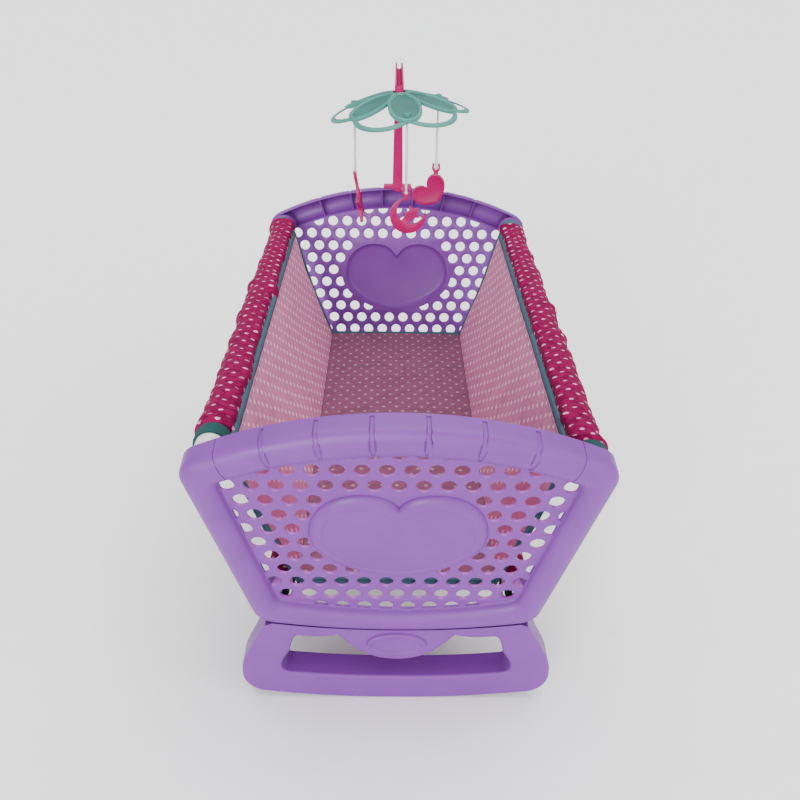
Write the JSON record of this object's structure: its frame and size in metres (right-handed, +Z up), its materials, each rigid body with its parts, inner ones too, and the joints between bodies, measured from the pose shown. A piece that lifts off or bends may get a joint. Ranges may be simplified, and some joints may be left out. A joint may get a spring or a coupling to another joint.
{
  "type": "doll cradle",
  "caption": "Rocking doll cradle: leaning perforated end panels on rockers, joined by tubes that carry a cloth sling, with a clip-on flower mobile and hanging charms.",
  "frame": {"origin": "on the floor under the middle of the cradle", "axes": "+Z up, +X to the right seen from the footboard, +Y from the footboard to the headboard that carries the mobile"},
  "size_m": [0.316, 0.5936, 0.4504],
  "materials": {
    "lilac_plastic": "satin moulded",
    "white_tube": "smooth",
    "steel": "zinc plated",
    "hot_pink_cloth": "woven, printed with pale oval dots",
    "pale_pink_cloth": "woven, reverse of a dotted print",
    "blue_green_binding": "folded binding tape",
    "board": "grey fibre board",
    "hot_pink_plastic": "satin moulded",
    "sea_green_plastic": "satin moulded",
    "white_string": "braided string"
  },
  "bodies": {
    "frame": {"base_board": "board", "floor_cover": "hot_pink_cloth", "floor_lining": "pale_pink_cloth", "foot_floor_binding": "blue_green_binding", "footboard_panel": "lilac_plastic", "footboard_rocker": "lilac_plastic", "head_floor_binding": "blue_green_binding", "headboard_panel": "lilac_plastic", "headboard_rocker": "lilac_plastic", "left_foot_cuff": "blue_green_binding", "left_foot_rocker_screw": "steel", "left_foot_wall_binding": "blue_green_binding", "left_head_cuff": "blue_green_binding", "left_head_rocker_screw": "steel", "left_head_wall_binding": "blue_green_binding", "left_lower_foot_tube_screw": "steel", "left_lower_head_tube_screw": "steel", "left_lower_sleeve": "hot_pink_cloth", "left_lower_tube": "white_tube", "left_upper_foot_tube_screw": "steel", "left_upper_head_tube_screw": "steel", "left_upper_sleeve": "hot_pink_cloth", "left_upper_tube": "white_tube", "left_wall": "pale_pink_cloth", "left_wall_piping": "blue_green_binding", "middle_foot_rocker_screw": "steel", "middle_head_rocker_screw": "steel", "right_foot_cuff": "blue_green_binding", "right_foot_rocker_screw": "steel", "right_foot_wall_binding": "blue_green_binding", "right_head_cuff": "blue_green_binding", "right_head_rocker_screw": "steel", "right_head_wall_binding": "blue_green_binding", "right_lower_foot_tube_screw": "steel", "right_lower_head_tube_screw": "steel", "right_lower_sleeve": "hot_pink_cloth", "right_lower_tube": "white_tube", "right_upper_foot_tube_screw": "steel", "right_upper_head_tube_screw": "steel", "right_upper_sleeve": "hot_pink_cloth", "right_upper_tube": "white_tube", "right_wall": "pale_pink_cloth", "right_wall_piping": "blue_green_binding"},
    "mobile_stand": {"hub_pin": "sea_green_plastic", "mobile_arm": "hot_pink_plastic"},
    "flower": {"flower": "sea_green_plastic"},
    "star_line": {"star_string": "white_string"},
    "star_charm": {"star_charm": "hot_pink_plastic"},
    "moon_line": {"moon_string": "white_string"},
    "moon_charm": {"moon_charm": "hot_pink_plastic"},
    "heart_line": {"heart_string": "white_string"},
    "heart_charm": {"heart_charm": "hot_pink_plastic"}
  },
  "joints": [
    {"name": "mobile_lift", "type": "slide", "parent": "frame", "child": "mobile_stand", "axis": [0, 0.1736, 0.9848], "range_m": [0, 0.03]},
    {"name": "flower_spin", "type": "hinge", "parent": "mobile_stand", "child": "flower", "pos_m": [0, 0.17454, 0.432], "axis": [-0.061, 0, 0.9981], "continuous": true},
    {"name": "star_swing", "type": "hinge", "parent": "flower", "child": "star_line", "pos_m": [-0.04897, 0.19512, 0.41487], "axis": [-0.9219, 0.3874, 0], "range_deg": [-25, 25]},
    {"name": "star_twist", "type": "hinge", "parent": "star_line", "child": "star_charm", "pos_m": [-0.04897, 0.19512, 0.33837], "axis": [0, 0, 1], "range_deg": [-180, 180]},
    {"name": "moon_swing", "type": "hinge", "parent": "flower", "child": "moon_line", "pos_m": [0.00799, 0.12102, 0.41836], "axis": [0.1476, -0.989, 0], "range_deg": [-25, 25]},
    {"name": "moon_twist", "type": "hinge", "parent": "moon_line", "child": "moon_charm", "pos_m": [0.00799, 0.12102, 0.34136], "axis": [0, 0, 1], "range_deg": [-180, 180]},
    {"name": "heart_swing", "type": "hinge", "parent": "flower", "child": "heart_line", "pos_m": [0.04356, 0.20749, 0.42053], "axis": [0.7976, 0.6032, 0], "range_deg": [-25, 25]},
    {"name": "heart_twist", "type": "hinge", "parent": "heart_line", "child": "heart_charm", "pos_m": [0.04356, 0.20749, 0.34453], "axis": [0, 0, 1], "range_deg": [-180, 180]}
  ]
}
